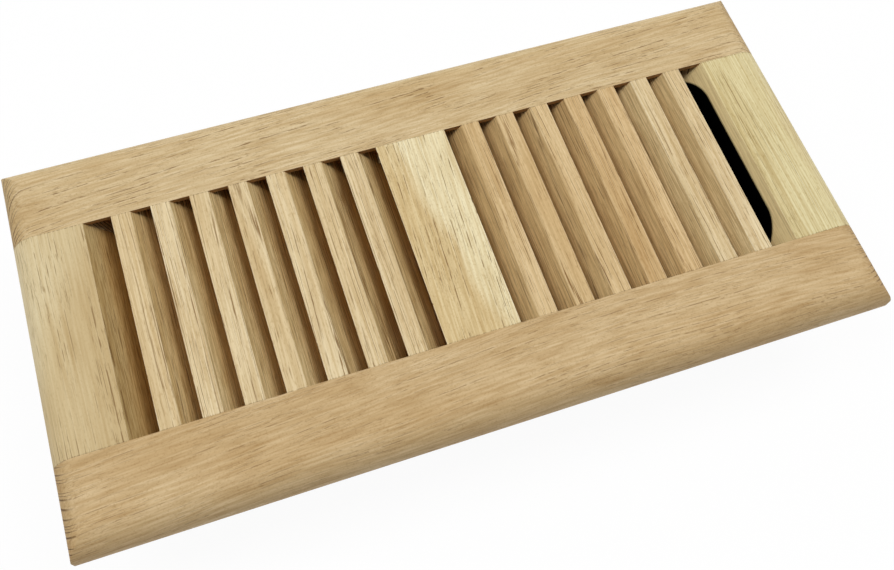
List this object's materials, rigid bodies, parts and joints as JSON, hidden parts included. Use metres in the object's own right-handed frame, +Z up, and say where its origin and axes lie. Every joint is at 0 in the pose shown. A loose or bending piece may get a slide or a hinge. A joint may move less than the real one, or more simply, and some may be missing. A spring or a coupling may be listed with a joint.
{
  "type": "floor register",
  "caption": "Drop-in floor register: louvred solid-oak face with outward-leaning slats and a rounded flange, over a lever-worked steel damper box that sits in the duct.",
  "frame": {"origin": "centre of the plane where the flange's underside meets the floor, over the middle of the duct", "axes": "+X along the length towards the lever end, +Y across the width towards the back rail, +Z up out of the floor"},
  "size_m": [0.2984, 0.146, 0.0538],
  "materials": {
    "oak": "sanded, unfinished white oak",
    "black_paint": "satin black paint on sheet steel",
    "zinc_plate": "zinc-plated steel"
  },
  "bodies": {
    "grille": {"front_rail": "oak", "back_rail": "oak", "left_stile": "oak", "right_stile": "oak", "centre_bar": "oak", "slat_left_1": "oak", "slat_left_2": "oak", "slat_left_3": "oak", "slat_left_4": "oak", "slat_left_5": "oak", "slat_left_6": "oak", "slat_left_7": "oak", "slat_right_1": "oak", "slat_right_2": "oak", "slat_right_3": "oak", "slat_right_4": "oak", "slat_right_5": "oak", "slat_right_6": "oak", "slat_right_7": "oak", "damper_box": "black_paint", "mounting_screws": "zinc_plate"},
    "middle_blade_set": {"middle_blade": "black_paint", "middle_axle": "zinc_plate", "lever": "black_paint", "middle_link_rivet": "zinc_plate"},
    "front_blade_set": {"front_blade": "black_paint", "front_axle": "zinc_plate", "front_crank": "black_paint", "front_link_rivet": "zinc_plate"},
    "back_blade_set": {"back_blade": "black_paint", "back_axle": "zinc_plate", "back_crank": "black_paint", "back_link_rivet": "zinc_plate"},
    "tie_bar": {"tie_bar": "black_paint"}
  },
  "joints": [
    {"name": "damper_lever", "type": "hinge", "parent": "grille", "child": "middle_blade_set", "pos_m": [0, 0, -0.02484], "axis": [1, 0, 0], "range_deg": [0, 90]},
    {"name": "front_blade_pivot", "type": "hinge", "parent": "grille", "child": "front_blade_set", "pos_m": [0, -0.03148, -0.02484], "axis": [1, 0, 0], "range_deg": [0, 90]},
    {"name": "back_blade_pivot", "type": "hinge", "parent": "grille", "child": "back_blade_set", "pos_m": [0, 0.03148, -0.02484], "axis": [1, 0, 0], "range_deg": [0, 90]},
    {"name": "tie_bar_pivot", "type": "hinge", "parent": "middle_blade_set", "child": "tie_bar", "pos_m": [0.11757, -0.00848, -0.03333], "axis": [1, 0, 0], "range_deg": [-90, 0]}
  ],
  "couplings": [
    {"joint": "front_blade_pivot", "follows": "damper_lever", "ratio": 1},
    {"joint": "back_blade_pivot", "follows": "damper_lever", "ratio": 1},
    {"joint": "tie_bar_pivot", "follows": "damper_lever", "ratio": -1}
  ]
}
